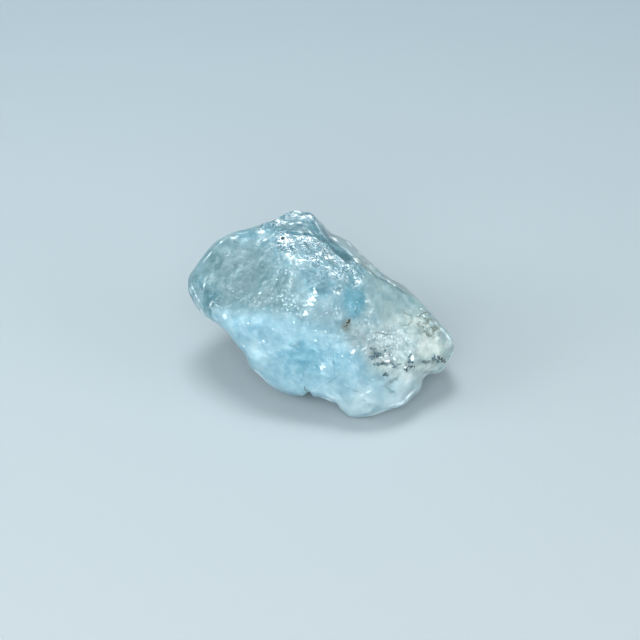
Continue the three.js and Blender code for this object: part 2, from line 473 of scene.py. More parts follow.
# %% Teal windows and dark shades
CREST_WINDOW = [(-4.5, 7.4), (-3.0, 7.3), (-1.4, 7.4), (0.0, 7.0), (0.8, 6.2)]
CREST_SHADE = [(-3.6, 7.3), (-1.4, 7.4), (0.0, 7.0), (0.7, 6.4)]
zones["teal"] = strongest(
    facet((-1.7, 3.4), (0.2, 3.3), (1.2, 2.0), (0.5, 0.8), (-0.5, 1.0), (-1.3, 2.0), soft=0.3),
    patch(3.0, 0.7, 1.0, 1.5, 8, 0.4),
    band(CREST_WINDOW, 0.6, soft=0.5),
    0.8 * band([(-7.2, 6.9), (-6.2, 6.8)], 0.5, soft=0.6),
    0.5 * back_deep,
)
FAINT_SHADES = [
    (0.5, (-7.6, 3.6, 0.5, 0.3, 0)),
    (0.5, (-9.9, 4.3, 0.25, 0.15, 20)),
    (0.4, (-8.4, 3.7, 0.25, 0.15, 0)),
    (0.5, (-5.1, 3.7, 0.25, 0.2, 0)),
    (0.4, (-6.6, 5.3, 0.35, 0.15, 0)),
    (0.4, (-7.7, 6.0, 0.30, 0.12, -20)),
    (0.4, (-2.0, -3.3, 0.5, 0.3, 20)),
]
zones["shade"] = strongest(
    0.9 * facet((-10.8, 2.2), (-9.9, 1.7), (-8.9, 1.5), (-9.1, 0.5), (-9.9, -0.1), (-10.5, -0.2), soft=0.3),
    0.9 * facet((-11.6, 2.9), (-11.2, 2.7), (-10.5, 1.7), (-10.6, 1.4), (-11.1, 2.0), soft=0.2),
    0.3 * facet((-12.6, 2.2), (-11.7, 3.2), (-10.9, 2.5), (-10.6, 1.8), (-10.6, 0.2), (-10.9, -0.4)),
    0.6 * facet((-10.2, 0.1), (-9.8, 0.0), (-9.9, -0.8), (-10.1, -0.6)),
    facet(*WEDGE, soft=0.2),
    0.7 * facet((-1.5, 3.2), (0.2, 3.1), (1.0, 2.0), (0.4, 1.0), (-0.4, 1.2), (-1.1, 2.0), soft=0.3),
    # painted shade in the hollow under the crest
    0.9 * band(CREST_SHADE, 0.6, soft=0.5),
    0.3 * patch(-6.0, 3.0, 1.4, 0.7, -10, 0.9),
    *[strength * patch(*place, soft=0.8) for strength, place in FAINT_SHADES],
)
print("teal and shade reach", zones["teal"].max().round(2), "and", zones["shade"].max().round(2))

# %% [markdown]
# At the right end water has carried iron and clay into the breaks, which leaves brownish stains, and dark
# minerals smudge the flesh round them. An iron grain in the middle has a rusty halo. Soft patches suit all
# of these, since such stains soak outwards; the material breaks them up.

# %% Stains, smudges and the halo
STAINS = [
    (1.0, (10.1, -1.8, 1.2, 1.0, -45, 0.6)),
    (0.7, (9.9, -0.5, 0.8, 0.3, -35, 0.6)),
    (0.8, (9.9, -4.9, 1.4, 0.3, 4, 0.6)),
    (0.7, (10.7, -4.6, 0.5, 0.4, 0, 0.7)),
    (0.5, (8.9, -4.0, 0.3, 1.0, 0, 0.7)),
]
SMUDGES = [
    (1.0, (5.0, -4.2, 0.7, 0.4, 0, 0.6)),
    (0.7, (4.9, -3.7, 0.4, 0.4, 0, 0.6)),
    (0.8, (5.7, -5.0, 0.6, 0.2, 0, 0.6)),
    (0.8, (6.6, -5.1, 0.5, 0.25, -35, 0.6)),
    (1.0, (7.9, -5.4, 0.5, 0.35, 0, 0.6)),
    (0.7, (6.4, -6.7, 0.8, 0.25, 40, 0.7)),
    (0.7, (6.3, -7.4, 0.5, 0.2, -40, 0.7)),
    (0.8, (5.85, -6.0, 0.3, 0.2, 0, 0.5)),
]
zones["stain"] = strongest(*[strength * patch(*place) for strength, place in STAINS])
zones["smudge"] = strongest(*[strength * patch(*place) for strength, place in SMUDGES])
zones["halo"] = patch(2.3, -1.75, 0.38, 0.50, 0, 0.6)
print(len(STAINS), "stains and", len(SMUDGES), "smudges")

# %% [markdown]
# Knocks bruise beryl white: tiny cracks under the skin scatter the light. Frost is where small white specks
# gather, and white marks single bruises, the largest a wedge in the middle of the broad side. Five white
# marks on the crest and the upper face are painted glints instead.

# %% Frost and white bruises
FROST = [
    (1.0, (-2.4, 0.1, 2.2, 1.2, -15)),
    (0.5, (-5.4, 0.6, 2.4, 0.9, -10)),
    (0.6, (2.8, -3.6, 1.8, 1.2, -20)),
    (0.9, (4.4, -0.5, 0.5, 0.8, 0)),
    (1.0, (6.0, -2.8, 2.0, 1.2, 0)),
    (0.8, (9.8, -1.3, 1.0, 0.9, 0)),
    (1.0, (1.3, -0.3, 1.0, 0.5, -30)),
]
BRUISES_AND_PAINTED_GLINTS = [
    (0.75, (-1.3, -0.5, 0.3, 0.5, 0, 0.7)),
    (0.45, (4.5, -0.5, 0.40, 0.60, 0, 0.7)),
    # These five are painted glints on the crest and the upper face.
    (0.8, (-1.6, 8.3, 1.0, 0.15, -8, 0.8)),
    (0.7, (-3.5, 7.8, 0.6, 0.25, 0, 0.8)),
    (0.7, (-3.0, 6.0, 0.5, 0.7, -10, 0.8)),
    (0.6, (-7.9, 6.5, 0.6, 0.25, 0, 0.8)),
    (0.6, (-5.7, 5.8, 0.5, 0.15, 0, 0.8)),
    (0.8, (-8.6, -0.8, 0.25, 0.3, 0, 0.5)),
    (0.8, (0.2, -5.2, 0.3, 0.45, 0, 0.5)),
    (0.9, (2.9, -3.9, 0.35, 0.25, 20, 0.5)),
    (0.6, (-5.1, -3.1, 0.3, 0.2, 0, 0.6)),
    (0.65, (1.6, 1.4, 0.6, 0.4, 20, 0.7)),
    (0.7, (7.3, -2.1, 0.3, 0.2, 0, 0.5)),
    (0.5, (2.4, -9.6, 0.3, 0.2, -30, 0.5)),
    (0.7, (9.6, -0.7, 0.25, 0.2, -20, 0.5)),
]
zones["frost"] = strongest(
    BACK * smoothstep(-0.1, 0.5, noise(points, 2.5, seed=53)),
    *[strength * patch(*place, soft=0.9) for strength, place in FROST],
)
zones["white"] = strongest(
    0.74 * facet((-0.4, 2.2), (0.0, 1.0), (-0.5, 0.1), (-1.3, 0.0), (-1.3, 0.7), soft=0.3),
    *[strength * patch(*place) for strength, place in BRUISES_AND_PAINTED_GLINTS],
)
print(len(FROST), "frosted places and", len(BRUISES_AND_PAINTED_GLINTS) + 1, "bruises")

# %% [markdown]
# White lines are painted highlights, thin lines of light where edges catch it: along the lower rim, the
# crest, the long shoulder and the left tip. Meshes thin enough for them would need far more squares, so they
# are drawn by distance in the material.

# %% White lines
# The white line along the lower rim is painted rim light.
PAINTED_RIM_LINES = [
    [(-5.8, -5.7), (-4.7, -7.0), (-3.5, -8.0), (-2.4, -8.1), (-1.3, -8.0)],
    [
        *[(-0.8, -8.1), (0.9, -8.3), (1.6, -9.1), (2.5, -10.0)],
        *[(3.7, -10.1), (6.0, -9.5), (8.1, -8.5), (9.0, -7.6)],
    ],
    [(9.7, -6.2), (10.8, -5.7), (11.7, -5.0), (12.3, -3.4), (11.9, -2.2)],
]
# Painted highlights: thin lines of light along edges, the crest and chip crests.
WHITE_LINES = [
    [(-10.5, 2.4), (-10.65, 1.9)],
    [(2.7, 1.9), (3.3, 2.3), (4.0, 2.4)],
    [(6.2, -9.0), (7.4, -8.4), (8.4, -7.6)],
    [(-8.2, 6.9), (-6.8, 7.0)],
    [(6.9, -8.9), (7.8, -8.2), (8.3, -7.6)],
    [(1.0, 6.8), (1.7, 6.2)],
    [(2.5, 6.0), (2.9, 5.6)],
    [(3.5, 5.1), (3.9, 4.9)],
    [(6.3, 2.7), (7.0, 2.2)],
    [(-11.0, -0.2), (-10.4, -0.9), (-9.5, -1.4)],
    [(-11.5, 3.3), (-10.9, 4.2), (-9.9, 5.4), (-9.1, 6.1)],
    [(-12.0, 2.0), (-11.5, 0.8), (-10.8, -0.4)],
    [(-11.7, 2.0), (-11.2, 0.9), (-10.8, 0.2)],
    [(10.6, -1.2), (11.3, -2.1), (11.9, -3.1)],
    [(-1.1, 7.2), (-0.6, 6.8)],
    [(-2.6, 8.5), (-1.9, 8.3), (-1.2, 8.25), (-0.5, 8.1)],
    [(-4.0, 7.9), (-3.5, 8.0), (-3.0, 7.9)],
    [(-2.9, 7.7), (-2.0, 7.8), (-1.2, 7.6)],
    [(-0.4, 7.8), (0.1, 7.1), (0.5, 6.6)],
    [(-2.4, 7.1), (-1.5, 7.0)],
    [(3.8, -7.8), (4.5, -7.5)],
    [(3.7, -3.8), (4.1, -3.5)],
    [(-5.1, 6.1), (-4.2, 6.7), (-3.2, 7.0)],
    [(0.7, 4.4), (1.3, 4.7), (1.8, 4.3), (2.2, 3.8), (2.8, 3.4)],
    [(0.1, 3.7), (0.8, 3.5), (1.3, 3.1), (1.6, 2.7)],
    [(3.8, 2.8), (3.9, 2.3), (3.4, 2.0), (2.8, 1.9)],
    [(2.8, 5.0), (3.9, 3.8), (4.9, 3.0)],
    [(-10.0, 0.3), (-9.8, 0.6)],
    [(-2.0, 1.0), (-1.7, 1.3)],
    [(-9.9, 0.1), (-9.5, 0.3), (-9.3, 0.2)],
    [(-9.6, 0.6), (-9.3, 0.9)],
]
zones["painted_rim"] = line_distance(*PAINTED_RIM_LINES, depth_share=0.2)
zones["white_line"] = line_distance(*WHITE_LINES)
print(len(PAINTED_RIM_LINES) + len(WHITE_LINES), "white lines")

# %% [markdown]
# Dark lines are thin shadows: under the crest, in the creases at the tip, and along faint cleavages low down.
# They are drawn in the same way as the white ones.

# %% Dark lines
DARK_LINES = [
    [(-11.5, 2.6), (-11.1, 2.0), (-10.6, 1.6), (-10.6, 0.4)],
    [(-10.0, -0.1), (-9.9, -0.9), (-9.3, -1.3)],
    [(1.2, -4.8), (1.3, -5.7)],
    [(0.9, -6.6), (1.3, -6.3)],
    [(2.5, -7.2), (3.3, -7.5)],
    [(6.0, -7.0), (6.5, -6.7), (7.0, -6.2)],
    [(6.0, -7.2), (6.6, -7.6)],
    [(5.2, 3.5), (5.8, 3.0)],
    [(6.2, 2.5), (7.6, 1.9)],
    [(-4.3, 7.5), (-3.0, 7.4), (-1.2, 7.5)],
    [(-3.0, 7.2), (-1.4, 7.1), (-0.2, 6.6)],
    [(2.9, 4.7), (3.6, 3.9), (4.6, 3.1)],
    [(3.9, -8.4), (4.2, -8.5)],
    [(4.45, -8.8), (4.6, -8.5)],
]
zones["dark_line"] = line_distance(*DARK_LINES)
zones["sliver"] = line_distance(*SLIVER)
zones["front"] = smoothstep(-0.28, -0.04, facing)
print(len(DARK_LINES), "dark lines")

# %% [markdown]
# A material can't call numpy, so each zone is written onto the skin as a named number at every point. Byte
# colours could carry it too, but they have 256 steps, and a distance needs more.

# %% The zones written on the skin
for name, values in zones.items():
    skin.data.attributes.new(name, "FLOAT", "POINT").data.foreach_set("value", values.astype(np.float32))
print(len(zones), "zones:", ", ".join(zones))


# %% [markdown]
# Colours are written as sRGB hex, as a paint card gives them, and turned to the linear values that light
# uses. One small function adds any shader node with its settings and links, so that a material reads as a
# list of nodes. It gives back one output, which the next node can take.

# %% Colours and nodes
def linear(hex_code):
    """An sRGB hex colour as linear red, green, blue and alpha."""
    srgb = np.array([int(hex_code[k : k + 2], 16) for k in (1, 3, 5)]) / 255
    rgb = np.where(srgb <= 0.04045, srgb / 12.92, ((srgb + 0.055) / 1.055) ** 2.4)
    return (*rgb.tolist(), 1.0)


def add(tree, kind, settings=None, inputs=None, output=0):
    """Adds a shader node and gives one of its outputs. An input is linked if it is a socket, or else set."""
    made = tree.nodes.new("ShaderNode" + kind)
    for name, value in (settings or {}).items():
        setattr(made, name, value)
    for name, value in (inputs or {}).items():
        if isinstance(value, bpy.types.NodeSocket):
            tree.links.new(value, made.inputs[name])
        else:
            made.inputs[name].default_value = value
    return made.outputs[output] if made.outputs else None


def new_material(name):
    """An empty node material and its tree."""
    made = bpy.data.materials.new(name)
    made.use_nodes = True
    made.node_tree.nodes.clear()
    return made, made.node_tree


TIMES = {"operation": "MULTIPLY", "use_clamp": True}
TIMES_PLUS = {"operation": "MULTIPLY_ADD", "use_clamp": True}
GREATER = {"operation": "MAXIMUM", "use_clamp": True}
EASED = {"interpolation_type": "SMOOTHSTEP"}
COLOURS = {"data_type": "RGBA"}
SHARE, FIRST, SECOND, MIXED = 0, 6, 7, 2
print("linear blue of beryl:", np.round(linear("#9dc2cc")[:3], 3))

# %% [markdown]
# Beryl is a clear glassy silicate, here grown with cloudy veils, then broken and worn. To the eye that is a
# blue depth with milk in it, dull satin where it is worn, and wet-looking glitter where it is freshly
# broken. Glass alone would be too clear and plastic too solid, so the material mixes transmission with
# scattering under the skin. First come the places that its patterns read. Chips lie lengthwise, so their
# noise reads places squeezed to half along the crystal's length, which draws the pattern out twofold.

# %% Beryl: places and zones
CRYSTAL_LENGTH = (0.82, -0.37, -0.44)
SQUEEZE = -0.5
beryl, tree = new_material("beryl_worn_and_broken")
place = add(tree, "TexCoord", output="Object")
zone = {name: add(tree, "Attribute", {"attribute_name": name}, output="Fac") for name in zones}
along = add(tree, "VectorMath", {"operation": "DOT_PRODUCT"}, {0: place, 1: CRYSTAL_LENGTH}, "Value")
back = add(tree, "Math", {"operation": "MULTIPLY"}, {0: along, 1: SQUEEZE})
shift = add(tree, "VectorMath", {"operation": "SCALE"}, {0: CRYSTAL_LENGTH, "Scale": back})
lengthwise = add(tree, "VectorMath", {"operation": "ADD"}, {0: place, 1: shift})
print(len(zone), "zones read by the material")

# %% [markdown]
# Each pattern in the stone is noise with a width of its own in mm: clouds of 2, folded veils of 1.7, flecks
# under 1, chips of 0.5 and crumbs of 0.2. The rest of a row is how much fine detail it has, how strong that
# detail is, and how far it is twisted.

# %% Beryl: noises
NOISES = {
    "cloud": (place, 2.2, 5.0, 0.60, 0.0),
    "fleck": (place, 0.8, 4.0, 0.65, 0.0),
    "crumb": (place, 0.22, 2.0, 0.55, 0.0),
    "crumble": (place, 0.45, 4.0, 0.70, 0.0),
    "cluster": (place, 0.7, 4.0, 0.70, 0.0),
    "blotch": (place, 0.3, 4.0, 0.65, 0.0),
    "painted_highlight_line": (place, 0.5, 2.0, 0.55, 0.0),
    "painted_rim": (place, 0.5, 4.0, 0.70, 0.0),
    "strip": (place, 1.5, 4.0, 0.65, 0.0),
    "layer": (place, 1.5, 3.0, 0.55, 0.0),
    "grit": (place, 0.5, 4.0, 0.55, 0.0),
    "fold": (place, 1.7, 4.0, 0.50, 1.2),
    "chip": (lengthwise, 0.5, 3.0, 0.50, 0.9),
    "flow": (lengthwise, 1.3, 6.0, 0.70, 0.0),
}
patterns = {}
for name, (where, size, detail, strength, twist) in NOISES.items():
    inputs = {"Vector": where, "Scale": 1 / (size * MM), "Detail": detail, "Roughness": strength}
    patterns[name] = add(tree, "TexNoise", {}, {**inputs, "Distortion": twist})
print(len(patterns), "noises")

# %% [markdown]
# Raw noise is grey fog. Easing it from 0 to 1 between two of its values gives it bodies and gaps. A zone
# added to the noise first makes its bodies grow there, so clusters and bruises thicken where they should.

# %% Beryl: bodies and gaps
THICKENED = {
    "cluster": (zone["glint"], 0.41, 0.62, 0.84),
    "crumb": (zone["frost"], 0.12, 0.62, 0.86),
    "blotch": (zone["white"], 0.45, 0.76, 0.92),
}
EASINGS = {
    "cloud": (patterns["cloud"], 0.32, 0.68),
    "fleck": (patterns["fleck"], 0.35, 0.68),
    "crumble": (patterns["crumble"], 0.42, 0.60),
    "flow": (patterns["flow"], 0.50, 0.66),
    "painted_highlight_line": (patterns["painted_highlight_line"], 0.35, 0.70),
    "painted_rim": (patterns["painted_rim"], 0.28, 0.55),
    "strip": (patterns["strip"], 0.25, 0.50),
    "chip_top": (patterns["chip"], 0.555, 0.60),
    "chip_foot": (patterns["chip"], 0.50, 0.42),
    "past_crease": (zone["sliver"], 0.0, 0.1),
    "near_crease": (zone["sliver"], 1.5, 0.6),
    "square_on": (zone["front"], 0.8, 1.0),
}
for name, (grown, gain, low, high) in THICKENED.items():
    EASINGS[name] = (add(tree, "Math", TIMES_PLUS, {0: grown, 1: gain, 2: patterns[name]}), low, high)
eased = {}
for name, (value, low, high) in EASINGS.items():
    eased[name] = add(tree, "MapRange", EASED, {"Value": value, "From Min": low, "From Max": high})
print(len(eased), "eased patterns")

# %% [markdown]
# A line is where a number passes a middle value: a stored distance passing 0, or a noise passing its own
# mean, which gives thin curling threads like the creases between chips and the folds of a veil. Each row is
# the number, its middle, and how far from it the line is full and then gone.

# %% Beryl: lines
LINES = {
    "crease": (patterns["chip"], 0.46, 0.004, 0.03),
    "fold": (patterns["fold"], 0.47, 0.004, 0.022),
    "painted_highlight_line": (zone["white_line"], 0.0, 0.0, 0.11),
    "painted_rim": (zone["painted_rim"], 0.0, 0.08, 0.25),
    "dark": (zone["dark_line"], 0.0, 0.02, 0.14),
    "sliver": (zone["sliver"], 0.0, 0.03, 0.12),
}
lines = {}
for name, (value, middle, full, gone) in LINES.items():
    off = add(tree, "Math", {"operation": "SUBTRACT"}, {0: value, 1: middle})
    off = add(tree, "Math", {"operation": "ABSOLUTE"}, {0: off})
    lines[name] = add(tree, "MapRange", EASED, {"Value": off, "From Min": gone, "From Max": full})
print(len(lines), "kinds of line")

# %% [markdown]
# Patterns, zones and lines now meet: a mark shows where all of its factors do, so it is their product, and a
# plain number among them is its strength. Veils fade where the glow is painted, painted highlight lines and
# the painted rim light break into crumbs, and the layered strip stays behind the crease. Chip tops and
# creases get painted glints, and the chips' feet and the crease get painted shade.

# %% Beryl: marks
less_in_glow = add(tree, "Math", TIMES_PLUS, {0: zone["glow"], 1: -0.4, 2: 0.65})
MARKS = {
    # painted glints on chip tops and creases, and painted shade at the chips' feet
    "painted_chip_glints": (eased["chip_top"], eased["cluster"]),
    "painted_crease_glints": (lines["crease"], 0.7, eased["cluster"]),
    "painted_chip_shade": (eased["chip_foot"], eased["cluster"], 0.7),
    "veils": (lines["fold"], eased["fleck"], 0.45, less_in_glow),
    "flow": (eased["flow"], zone["glow"], 0.28),
    "specks": (eased["crumb"], 0.8),
    "blotches": (eased["blotch"], 1.0),
    # painted highlight lines and the painted rim light
    "painted_highlight_lines": (lines["painted_highlight_line"], eased["painted_highlight_line"], zone["front"]),
    "painted_rim_light": (lines["painted_rim"], zone["front"], 0.62, eased["painted_rim"]),
    "dark_lines": (lines["dark"], eased["fleck"], zone["front"], 0.8),
    # painted shade along the crease behind the crest
    "painted_crease_shade": (lines["sliver"], zone["front"], 0.8),
    "strip": (eased["past_crease"], eased["near_crease"], eased["square_on"], eased["strip"], 0.7),
    "broken": (zone["rough"], 0.8),
    "stained": (zone["stain"], eased["crumble"]),
    "smudged": (zone["smudge"], eased["crumble"]),
    "rusted": (zone["halo"], 0.9),
}
marks = {}
for name, (value, *factors) in MARKS.items():
    for factor in factors:
        value = add(tree, "Math", TIMES, {0: value, 1: factor})
    marks[name] = value
print(len(marks), "marks")

# %% [markdown]
# Several marks whiten the stone: bruises, veils and crumbs, and painted highlights on chips, edges and the
# lower rim. Several others darken it with painted shade. Adding them would make crossings too strong, so the
# strongest one counts at each place.

# %% Beryl: bruises, painted highlights and painted shade
WHITE_MARKS = ["painted_chip_glints", "painted_crease_glints", "veils", "flow", "specks", "blotches", "painted_highlight_lines", "painted_rim_light"]
DARK_MARKS = ["dark_lines", "painted_crease_shade", "painted_chip_shade"]
bruises_and_highlights, dark = 0.0, 0.0
for name in WHITE_MARKS:
    bruises_and_highlights = add(tree, "Math", GREATER, {0: bruises_and_highlights, 1: marks[name]})
for name in DARK_MARKS:
    dark = add(tree, "Math", GREATER, {0: dark, 1: marks[name]})
print(len(WHITE_MARKS), "white and", len(DARK_MARKS), "dark marks")

# %% [markdown]
# Behind the crease the stone is layered like slate, in grey and white. The layers are sheets 0.7 mm apart
# along one direction, with widths that vary, so they read a noise of one number: how far along that
# direction a place is, shaken a little so that the sheets bend.

# %% Beryl: the layered strip
SHEET_DIRECTION = (0.53, 0.72, 0.26)
SHEET_SPACING = 0.7
inputs = {0: place, 1: SHEET_DIRECTION}
sheets = add(tree, "VectorMath", {"operation": "DOT_PRODUCT"}, inputs, "Value")
inputs = {0: sheets, 1: 1 / (SHEET_SPACING * MM), 2: patterns["layer"]}
sheets = add(tree, "Math", {"operation": "MULTIPLY_ADD"}, inputs)
inputs = {"W": sheets, "Scale": 2.0, "Detail": 3.0}
sheets = add(tree, "TexNoise", {"noise_dimensions": "1D"}, inputs)
sheets = add(tree, "MapRange", EASED, {"Value": sheets, "From Min": 0.35, "From Max": 0.65})
print("sheets are", SHEET_SPACING, "mm apart")

# %% [markdown]
# The colours go on like glazes, each over the last, and each mottled from a darker to a lighter tone by one
# of the patterns. The order matters: wide zones first, then windows and breaks, then stains, then the strip
# and the painted shade of the dark marks, and white bruises with painted highlights last, since they lie in
# the very surface.

# %% Beryl: colours
mottle = add(tree, "Math", TIMES, {0: eased["fleck"], 1: 0.5})
mottle = add(tree, "Math", TIMES_PLUS, {0: eased["cloud"], 1: 0.5, 2: mottle})
GLAZES = [
    (1.0, eased["fleck"], "#84aeba", "#9dc2cc"),
    (zone["grey"], eased["fleck"], "#5c8a93", "#7aa2a9"),
    (zone["sage"], eased["fleck"], "#8eb3b8", "#a8c6c7"),
    (zone["pale"], eased["fleck"], "#9ab0ae", "#cedad5"),
    # painted glow: light blue for light passing through the lower front
    (zone["glow"], mottle, "#85b6c8", "#afd0d9"),
    (zone["milk"], eased["cloud"], "#b4cfd5", "#d6e4e5"),
    (zone["deep"], eased["fleck"], "#66a4b9", "#82b6c6"),
    (zone["teal"], eased["fleck"], "#599db0", "#7ab7c7"),
    # shade: darker windows, and painted shade in the hollow under the crest
    (zone["shade"], eased["fleck"], "#2c6a78", "#4a8a97"),
    (zone["sugary"], eased["fleck"], "#8fabb0", "#b9cbcc"),
    (marks["broken"], 0.0, "#6c9fae", "#6c9fae"),
    (marks["stained"], 0.0, "#6f7b70", "#6f7b70"),
    (marks["smudged"], 0.0, "#456169", "#456169"),
    (zone["cream"], eased["fleck"], "#b9cbc6", "#d6e1dc"),
    (marks["rusted"], 0.0, "#74857b", "#74857b"),
    (marks["strip"], sheets, "#88989b", "#c2cfd1"),
    # painted shade: dark lines, the crease and the chips' feet
    (dark, 0.0, "#4f818f", "#4f818f"),
    # white bruises and veils, with painted highlights on chips, edges and the rim
    (bruises_and_highlights, 0.0, "#e6f2f5", "#e6f2f5"),
]
colour = linear("#ffffff")
for share, pattern, dark_tone, light_tone in GLAZES:
    inputs = {SHARE: pattern, FIRST: linear(dark_tone), SECOND: linear(light_tone)}
    tone = add(tree, "Mix", COLOURS, inputs, MIXED)
    colour = add(tree, "Mix", COLOURS, {SHARE: share, FIRST: colour, SECOND: tone}, MIXED)
print(len(GLAZES), "glazes")

# %% [markdown]
# Light goes through beryl where it is clear and scatters where it is cloudy or bruised. So the clear share
# starts at a little over half, and clouds, the painted glow, paleness, and bruises with painted highlights
# each take from it.

# %% Beryl: how clear it is
CLEAR_AT_MOST = 0.55
CLOUDINESS = [(eased["cloud"], -0.15), (zone["glow"], -0.2), (zone["pale"], -0.2), (bruises_and_highlights, -0.7)]
clear = CLEAR_AT_MOST
for cloudy, change in CLOUDINESS:
    clear = add(tree, "Math", TIMES_PLUS, {0: cloudy, 1: change, 2: clear})
print("clear share at most:", CLEAR_AT_MOST)

# %% [markdown]
# Relief finer than the mesh's squares of 0.1 mm is left to bump: the little shells of each chip, and a fine
# grit everywhere that is strongest where the stone is frosted.

# %% Beryl: bump
GRIT, FROST_GRIT = 0.14, 0.1
shells = add(tree, "Math", TIMES, {0: patterns["chip"], 1: zone["rough"]})
grit = add(tree, "Math", TIMES_PLUS, {0: zone["frost"], 1: FROST_GRIT, 2: GRIT})
height = add(tree, "Math", TIMES_PLUS, {0: patterns["grit"], 1: grit, 2: shells})
bump = add(tree, "Bump", {}, {"Strength": 1.0, "Distance": 0.3 * MM, "Height": height})
print("bump reaches 0.3 mm")


# %% [markdown]
# Beryl's IOR is 1.577. Worn faces are satin, with a roughness of 0.36. Fresh breaks are glossier, so they
# also get a thin coat of the same IOR. The blue lies in the depth: absorption takes more red the farther the
# light goes, as the iron in aquamarine does.

# %% Beryl: the finished material
def finish_piece(piece, material):
    """Gives a piece its material, and says to the frame that it rides on the stone."""
    piece.data.materials.append(material)
    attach(piece, "root")


BERYL_IOR = 1.577
finish = {
    "Base Color": colour,
    "IOR": BERYL_IOR,
    "Roughness": add(tree, "Math", TIMES_PLUS, {0: zone["rough"], 1: -0.15, 2: 0.36}),
    "Transmission Weight": clear,
    "Subsurface Weight": 0.6,
    "Subsurface Radius": (1.0, 1.4, 1.6),
    "Subsurface Scale": 0.6 * MM,
    "Coat Weight": add(tree, "Math", TIMES, {0: zone["rough"], 1: 0.5}),
    "Coat IOR": BERYL_IOR,
    "Coat Roughness": 0.08,
    "Normal": bump,
    "Coat Normal": bump,
}
surface = add(tree, "BsdfPrincipled", {}, finish)
depth = add(tree, "VolumeAbsorption", {}, {"Color": linear("#a3d3e2"), "Density": 40.0})
add(tree, "OutputMaterial", {}, {"Surface": surface, "Volume": depth})
finish_piece(skin, beryl)
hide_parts("aquamarine_crystal")
print("beryl has", len(tree.nodes), "nodes")

# %% [markdown]
# The small things sealed in the stone are placed from the same card. Their depths could be guessed, but a
# speck that sinks too far is lost in the cloud. So each one finds the finished skin's nearest point in front
# of its place, and takes its height and its normal from there.

# %% Finding places on the finished skin
EDGE_ON = 0.05
finished_card = (points - MIDDLE) @ CARD_AXES
turned_away = skin_normals @ OUT < EDGE_ON
behind = np.flatnonzero(BACK > 0.5)


def on_skin(places):
    """The index of the skin's point in front of each (across, up) place."""
    return np.array([nearest(finished_card, spot, turned_away) for spot in places])


def axes_at(index, seed, level=10.0):
    """Three unit axes at each place: two along the skin and the normal.

    The first is turned at random if level is large, and lies along the stone if level is near 0."""
    rng = np.random.default_rng(seed)
    up = worn_normals[index]
    along = np.cross(up, UP + level * rng.normal(size=up.shape))
    along /= np.linalg.norm(along, axis=1, keepdims=True)
    return np.stack([along, np.cross(up, along), up], 1)


print(len(behind), "points on the back")

# %% [markdown]
# A grain in a stone is a lump, longer one way than another. An icosphere for each would be many objects, so
# one kind of grain is one mesh: the ball made earlier, with few squares, made lumpy at random, stretched and
# set down at every place in one array product.

# %% Grains
LOWEST = 0.02


def random_sizes(rng, count, scale, low, high):
    """Three half sizes in mm for each grain: one random scale times three random shares."""
    return rng.uniform(*scale, (count, 1)) * rng.uniform(low, high, (count, 3))


def grains(name, index, sizes, depth, n=2, jag=0.25, seed=0, smooth=True, level=10.0):
    """Many lumpy grains as one mesh.

    Each is a ball of n squares a side whose points move in or out at random by jag, stretched by its
    three half sizes along its place's axes, with its middle depth mm under the skin."""
    shape, faces = ball(n)
    rng = np.random.default_rng(seed)
    lumpy = shape * (1 + jag * rng.uniform(-1, 1, (len(index), len(shape), 1)))
    axes = axes_at(index, seed, level)
    spread = np.einsum("gpk,gk,gkx->gpx", lumpy, sizes, axes)
    centres = points[index] - axes[:, 2] * depth
    placed = (centres[:, None] + spread).reshape(-1, 3)
    placed[:, 2] = np.maximum(placed[:, 2], LOWEST)
    each = (np.arange(len(index)) * len(shape))[:, None, None]
    made = make_mesh(name, placed, (faces + each).reshape(-1, 4).tolist(), smooth)
    print(name, "has", len(index), "grains")
    return made


print("a grain of 2 squares a side has", len(ball(2)[0]), "points, and one of 3 has", len(ball(3)[0]))

# %% [markdown]
# Minerals that aren't clear need no light inside them, so a plain surface does. No grain is one flat colour,
# though: each mineral runs between two tones by a noise of its own size in mm, and its roughness says how
# dull it is.

# %% Solid minerals
def mineral(name, dark_tone, light_tone, size, roughness):
    """A solid mineral of two tones, mottled at size mm."""
    made, nodes = new_material(name)
    spot = add(nodes, "TexCoord", output="Object")
    mottled = add(nodes, "TexNoise", {}, {"Vector": spot, "Scale": 1 / (size * MM)})
    inputs = {SHARE: mottled, FIRST: linear(dark_tone), SECOND: linear(light_tone)}
    tone = add(nodes, "Mix", COLOURS, inputs, MIXED)
    surface = add(nodes, "BsdfPrincipled", {}, {"Base Color": tone, "Roughness": roughness})
    add(nodes, "OutputMaterial", {}, {"Surface": surface})
    print(name, "is mottled at", size, "mm")
    return made


# %% [markdown]
# Dark specks are pin-prick crystals of other minerals that the beryl grew round. Seen through cloudy stone
# they look blue-black, not black. The ones on the broad side have places of their own, and the back has
# forty at random.

# %% Dark specks
DARK_SPOTS = [
    *[(3.1, -0.9), (3.2, -0.2), (3.5, -1.3), (4.8, -0.6), (3.3, 0.0), (4.8, -0.3), (3.4, 2.9), (3.1, -0.4)],
    *[(-9.9, 4.3), (-8.5, 3.8), (-9.1, 3.7), (-7.3, 3.5), (-5.1, 3.7), (-5.3, 2.3), (-3.3, 5.5), (-2.8, 5.7)],
    *[(-7.8, 6.1), (-7.5, 6.0), (-6.6, 5.3), (5.9, -6.0)],
]
SPECKS_BEHIND = 40
rng = np.random.default_rng(5)
index = np.concatenate([on_skin(DARK_SPOTS), rng.choice(behind, SPECKS_BEHIND)])
sizes = random_sizes(rng, len(index), (0.04, 0.09), (0.8, 0.5, 0.3), (1.5, 1.0, 0.4))
dark_specks = grains("dark_specks", index, sizes, 0.01, jag=0.4, seed=6)
finish_piece(dark_specks, mineral("blue_black_mineral_specks", "#3a5761", "#64858f", 0.2, 0.5))

